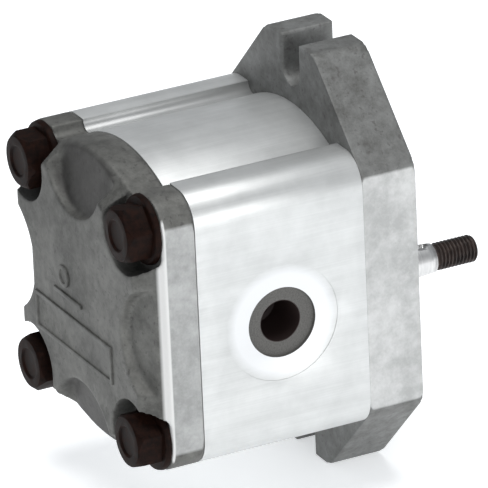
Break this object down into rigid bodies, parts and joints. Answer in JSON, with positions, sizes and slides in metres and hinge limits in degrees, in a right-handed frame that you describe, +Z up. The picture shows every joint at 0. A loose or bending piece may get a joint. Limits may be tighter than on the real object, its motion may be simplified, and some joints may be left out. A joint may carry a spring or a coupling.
{
  "type": "hydraulic gear pump",
  "caption": "Compact external gear pump with an extruded body between a slotted mounting flange and a cast rear cover, tapered drive shaft and side ports.",
  "frame": {"origin": "centre of the pilot in the plane of the mounting face, on the drive shaft's axis", "axes": "+Y along the drive shaft, out of the mounting face; +Z up, from the drive gear to the driven gear; +X to the right port"},
  "size_m": [0.072, 0.1101, 0.109],
  "materials": {
    "cast_alloy": "as cast, sand-blasted grey",
    "extruded_alloy": "bright satin extrusion",
    "black_steel": "black oxide",
    "bearing_alloy": "turned",
    "bush_metal": "bronze, plain",
    "seal_rubber": "nitrile, matt black",
    "backup_plastic": "natural white",
    "bright_steel": "ground bright",
    "spring_steel": "phosphated",
    "ground_steel": "ground bright, thread darker"
  },
  "bodies": {
    "housing": {"mounting_flange": "cast_alloy", "pump_body": "extruded_alloy", "rear_cover": "cast_alloy", "cover_bolts": "black_steel", "front_bearing_block": "bearing_alloy", "rear_bearing_block": "bearing_alloy", "drive_front_bush": "bush_metal", "driven_front_bush": "bush_metal", "drive_rear_bush": "bush_metal", "driven_rear_bush": "bush_metal", "front_pressure_seal": "seal_rubber", "front_backup_ring": "backup_plastic", "rear_pressure_seal": "seal_rubber", "rear_backup_ring": "backup_plastic", "front_body_seal": "seal_rubber", "rear_body_seal": "seal_rubber", "front_dowels": "bright_steel", "rear_dowels": "bright_steel", "shaft_seal_case": "seal_rubber", "shaft_seal_lip": "seal_rubber", "shaft_seal_spring": "bright_steel", "seal_retaining_ring": "spring_steel"},
    "drive": {"drive_gear_shaft": "ground_steel", "shaft_key": "bright_steel"},
    "driven": {"driven_gear": "ground_steel"}
  },
  "joints": [
    {"name": "drive_spin", "type": "hinge", "parent": "housing", "child": "drive", "pos_m": [0, 0, 0], "axis": [0, 1, 0], "continuous": true},
    {"name": "driven_spin", "type": "hinge", "parent": "housing", "child": "driven", "pos_m": [0, 0, 0.024], "axis": [0, 1, 0], "continuous": true}
  ],
  "couplings": [
    {"joint": "driven_spin", "follows": "drive_spin", "ratio": -1}
  ]
}
